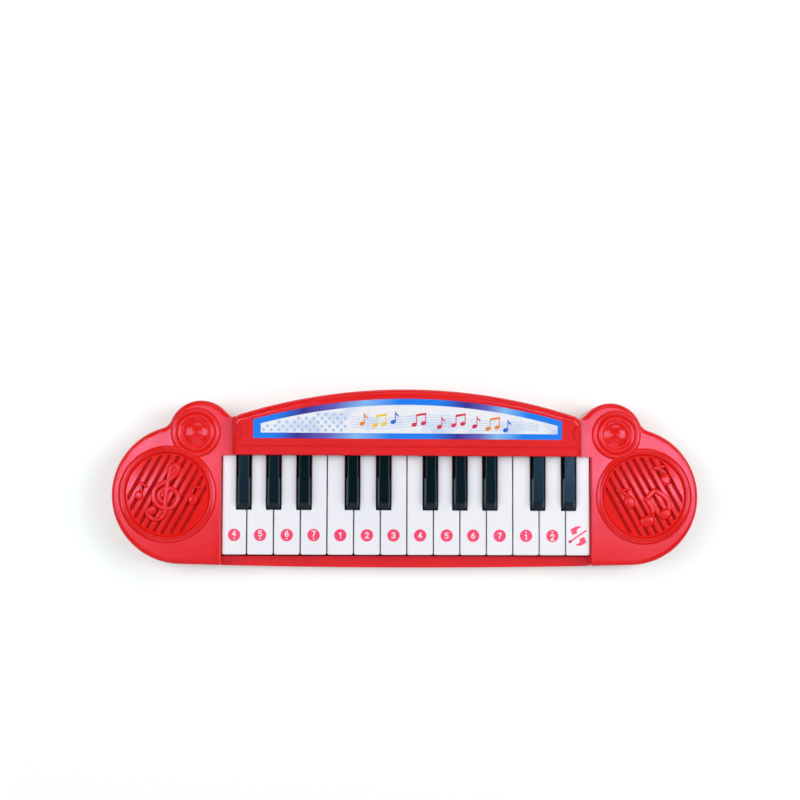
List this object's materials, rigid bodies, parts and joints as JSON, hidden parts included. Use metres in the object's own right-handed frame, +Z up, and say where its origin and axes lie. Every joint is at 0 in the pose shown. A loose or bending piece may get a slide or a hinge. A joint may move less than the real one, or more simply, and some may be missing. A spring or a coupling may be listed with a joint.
{
  "type": "toy keyboard",
  "caption": "Glossy toy keyboard with round speaker ends, domed ears and a bowed console; sprung white and black keys turn on a rear rod, with a battery door underneath.",
  "frame": {"origin": "middle of the toy's bounding box in plan, on the table that its four feet stand on", "axes": "+X along the row of keys towards the high notes, -Y towards the player, +Z up"},
  "size_m": [0.3508, 0.1058, 0.0399],
  "materials": {
    "red_shell": "gloss",
    "red_guide": "satin",
    "red_door": "satin",
    "white_key": "gloss",
    "black_key": "gloss",
    "label_paper": "gloss print",
    "steel": "bright zinc",
    "screen_paper": "matte",
    "contact_rubber": "matte",
    "board": "matte",
    "epoxy": "satin",
    "speaker_frame": "satin",
    "magnet": "matte",
    "speaker_paper": "matte",
    "battery_can": "satin",
    "wire": "matte"
  },
  "bodies": {
    "case": {"top_case": "red_shell", "bottom_case": "red_shell", "left_grille": "red_shell", "right_grille": "red_shell", "left_dust_screen": "screen_paper", "right_dust_screen": "screen_paper", "label_sticker": "label_paper", "key_pivot_rod": "steel", "key_guide_rail": "red_guide", "contact_rubber_strip": "contact_rubber", "key_circuit_board": "board", "chip_cover": "epoxy", "speaker_basket": "speaker_frame", "speaker_magnet": "magnet", "speaker_cone": "speaker_paper", "battery_cells": "battery_can", "battery_springs": "steel", "battery_plates": "steel", "case_screws": "steel", "board_screws": "steel", "speaker_screws": "steel", "speaker_wires": "wire", "battery_wires": "wire"},
    "white_key_01": {"white_key_01": "white_key"},
    "white_key_02": {"white_key_02": "white_key"},
    "white_key_03": {"white_key_03": "white_key"},
    "white_key_04": {"white_key_04": "white_key"},
    "white_key_05": {"white_key_05": "white_key"},
    "white_key_06": {"white_key_06": "white_key"},
    "white_key_07": {"white_key_07": "white_key"},
    "white_key_08": {"white_key_08": "white_key"},
    "white_key_09": {"white_key_09": "white_key"},
    "white_key_10": {"white_key_10": "white_key"},
    "white_key_11": {"white_key_11": "white_key"},
    "white_key_12": {"white_key_12": "white_key"},
    "white_key_13": {"white_key_13": "white_key"},
    "white_key_14": {"white_key_14": "white_key"},
    "black_key_01": {"black_key_01": "black_key"},
    "black_key_02": {"black_key_02": "black_key"},
    "black_key_03": {"black_key_03": "black_key"},
    "black_key_04": {"black_key_04": "black_key"},
    "black_key_05": {"black_key_05": "black_key"},
    "black_key_06": {"black_key_06": "black_key"},
    "black_key_07": {"black_key_07": "black_key"},
    "black_key_08": {"black_key_08": "black_key"},
    "black_key_09": {"black_key_09": "black_key"},
    "black_key_10": {"black_key_10": "black_key"},
    "battery_door": {"battery_door": "red_door", "door_screw": "steel"}
  },
  "joints": [
    {"name": "white_key_01_press", "type": "hinge", "parent": "case", "child": "white_key_01", "pos_m": [0, 0.0229, 0.02], "axis": [1, 0, 0], "range_deg": [0, 3.5], "stiffness_Nm_per_rad": 0.33, "springref_deg": -3.44, "deforming": ["contact_rubber_strip"]},
    {"name": "white_key_02_press", "type": "hinge", "parent": "case", "child": "white_key_02", "pos_m": [0, 0.0229, 0.02], "axis": [1, 0, 0], "range_deg": [0, 3.5], "stiffness_Nm_per_rad": 0.33, "springref_deg": -3.44, "deforming": ["contact_rubber_strip"]},
    {"name": "white_key_03_press", "type": "hinge", "parent": "case", "child": "white_key_03", "pos_m": [0, 0.0229, 0.02], "axis": [1, 0, 0], "range_deg": [0, 3.5], "stiffness_Nm_per_rad": 0.33, "springref_deg": -3.44, "deforming": ["contact_rubber_strip"]},
    {"name": "white_key_04_press", "type": "hinge", "parent": "case", "child": "white_key_04", "pos_m": [0, 0.0229, 0.02], "axis": [1, 0, 0], "range_deg": [0, 3.5], "stiffness_Nm_per_rad": 0.33, "springref_deg": -3.44, "deforming": ["contact_rubber_strip"]},
    {"name": "white_key_05_press", "type": "hinge", "parent": "case", "child": "white_key_05", "pos_m": [0, 0.0229, 0.02], "axis": [1, 0, 0], "range_deg": [0, 3.5], "stiffness_Nm_per_rad": 0.33, "springref_deg": -3.44, "deforming": ["contact_rubber_strip"]},
    {"name": "white_key_06_press", "type": "hinge", "parent": "case", "child": "white_key_06", "pos_m": [0, 0.0229, 0.02], "axis": [1, 0, 0], "range_deg": [0, 3.5], "stiffness_Nm_per_rad": 0.33, "springref_deg": -3.44, "deforming": ["contact_rubber_strip"]},
    {"name": "white_key_07_press", "type": "hinge", "parent": "case", "child": "white_key_07", "pos_m": [0, 0.0229, 0.02], "axis": [1, 0, 0], "range_deg": [0, 3.5], "stiffness_Nm_per_rad": 0.33, "springref_deg": -3.44, "deforming": ["contact_rubber_strip"]},
    {"name": "white_key_08_press", "type": "hinge", "parent": "case", "child": "white_key_08", "pos_m": [0, 0.0229, 0.02], "axis": [1, 0, 0], "range_deg": [0, 3.5], "stiffness_Nm_per_rad": 0.33, "springref_deg": -3.44, "deforming": ["contact_rubber_strip"]},
    {"name": "white_key_09_press", "type": "hinge", "parent": "case", "child": "white_key_09", "pos_m": [0, 0.0229, 0.02], "axis": [1, 0, 0], "range_deg": [0, 3.5], "stiffness_Nm_per_rad": 0.33, "springref_deg": -3.44, "deforming": ["contact_rubber_strip"]},
    {"name": "white_key_10_press", "type": "hinge", "parent": "case", "child": "white_key_10", "pos_m": [0, 0.0229, 0.02], "axis": [1, 0, 0], "range_deg": [0, 3.5], "stiffness_Nm_per_rad": 0.33, "springref_deg": -3.44, "deforming": ["contact_rubber_strip"]},
    {"name": "white_key_11_press", "type": "hinge", "parent": "case", "child": "white_key_11", "pos_m": [0, 0.0229, 0.02], "axis": [1, 0, 0], "range_deg": [0, 3.5], "stiffness_Nm_per_rad": 0.33, "springref_deg": -3.44, "deforming": ["contact_rubber_strip"]},
    {"name": "white_key_12_press", "type": "hinge", "parent": "case", "child": "white_key_12", "pos_m": [0, 0.0229, 0.02], "axis": [1, 0, 0], "range_deg": [0, 3.5], "stiffness_Nm_per_rad": 0.33, "springref_deg": -3.44, "deforming": ["contact_rubber_strip"]},
    {"name": "white_key_13_press", "type": "hinge", "parent": "case", "child": "white_key_13", "pos_m": [0, 0.0229, 0.02], "axis": [1, 0, 0], "range_deg": [0, 3.5], "stiffness_Nm_per_rad": 0.33, "springref_deg": -3.44, "deforming": ["contact_rubber_strip"]},
    {"name": "white_key_14_press", "type": "hinge", "parent": "case", "child": "white_key_14", "pos_m": [0, 0.0229, 0.02], "axis": [1, 0, 0], "range_deg": [0, 3.5], "stiffness_Nm_per_rad": 0.33, "springref_deg": -3.44, "deforming": ["contact_rubber_strip"]},
    {"name": "black_key_01_press", "type": "hinge", "parent": "case", "child": "black_key_01", "pos_m": [0, 0.0229, 0.02], "axis": [1, 0, 0], "range_deg": [0, 3.5], "stiffness_Nm_per_rad": 0.33, "springref_deg": -3.44, "deforming": ["contact_rubber_strip"]},
    {"name": "black_key_02_press", "type": "hinge", "parent": "case", "child": "black_key_02", "pos_m": [0, 0.0229, 0.02], "axis": [1, 0, 0], "range_deg": [0, 3.5], "stiffness_Nm_per_rad": 0.33, "springref_deg": -3.44, "deforming": ["contact_rubber_strip"]},
    {"name": "black_key_03_press", "type": "hinge", "parent": "case", "child": "black_key_03", "pos_m": [0, 0.0229, 0.02], "axis": [1, 0, 0], "range_deg": [0, 3.5], "stiffness_Nm_per_rad": 0.33, "springref_deg": -3.44, "deforming": ["contact_rubber_strip"]},
    {"name": "black_key_04_press", "type": "hinge", "parent": "case", "child": "black_key_04", "pos_m": [0, 0.0229, 0.02], "axis": [1, 0, 0], "range_deg": [0, 3.5], "stiffness_Nm_per_rad": 0.33, "springref_deg": -3.44, "deforming": ["contact_rubber_strip"]},
    {"name": "black_key_05_press", "type": "hinge", "parent": "case", "child": "black_key_05", "pos_m": [0, 0.0229, 0.02], "axis": [1, 0, 0], "range_deg": [0, 3.5], "stiffness_Nm_per_rad": 0.33, "springref_deg": -3.44, "deforming": ["contact_rubber_strip"]},
    {"name": "black_key_06_press", "type": "hinge", "parent": "case", "child": "black_key_06", "pos_m": [0, 0.0229, 0.02], "axis": [1, 0, 0], "range_deg": [0, 3.5], "stiffness_Nm_per_rad": 0.33, "springref_deg": -3.44, "deforming": ["contact_rubber_strip"]},
    {"name": "black_key_07_press", "type": "hinge", "parent": "case", "child": "black_key_07", "pos_m": [0, 0.0229, 0.02], "axis": [1, 0, 0], "range_deg": [0, 3.5], "stiffness_Nm_per_rad": 0.33, "springref_deg": -3.44, "deforming": ["contact_rubber_strip"]},
    {"name": "black_key_08_press", "type": "hinge", "parent": "case", "child": "black_key_08", "pos_m": [0, 0.0229, 0.02], "axis": [1, 0, 0], "range_deg": [0, 3.5], "stiffness_Nm_per_rad": 0.33, "springref_deg": -3.44, "deforming": ["contact_rubber_strip"]},
    {"name": "black_key_09_press", "type": "hinge", "parent": "case", "child": "black_key_09", "pos_m": [0, 0.0229, 0.02], "axis": [1, 0, 0], "range_deg": [0, 3.5], "stiffness_Nm_per_rad": 0.33, "springref_deg": -3.44, "deforming": ["contact_rubber_strip"]},
    {"name": "black_key_10_press", "type": "hinge", "parent": "case", "child": "black_key_10", "pos_m": [0, 0.0229, 0.02], "axis": [1, 0, 0], "range_deg": [0, 3.5], "stiffness_Nm_per_rad": 0.33, "springref_deg": -3.44, "deforming": ["contact_rubber_strip"]},
    {"name": "battery_door_open", "type": "hinge", "parent": "case", "child": "battery_door", "pos_m": [0.1304, 0.0173, 0.0015], "axis": [1, 0, 0], "range_deg": [0, 40]}
  ]
}
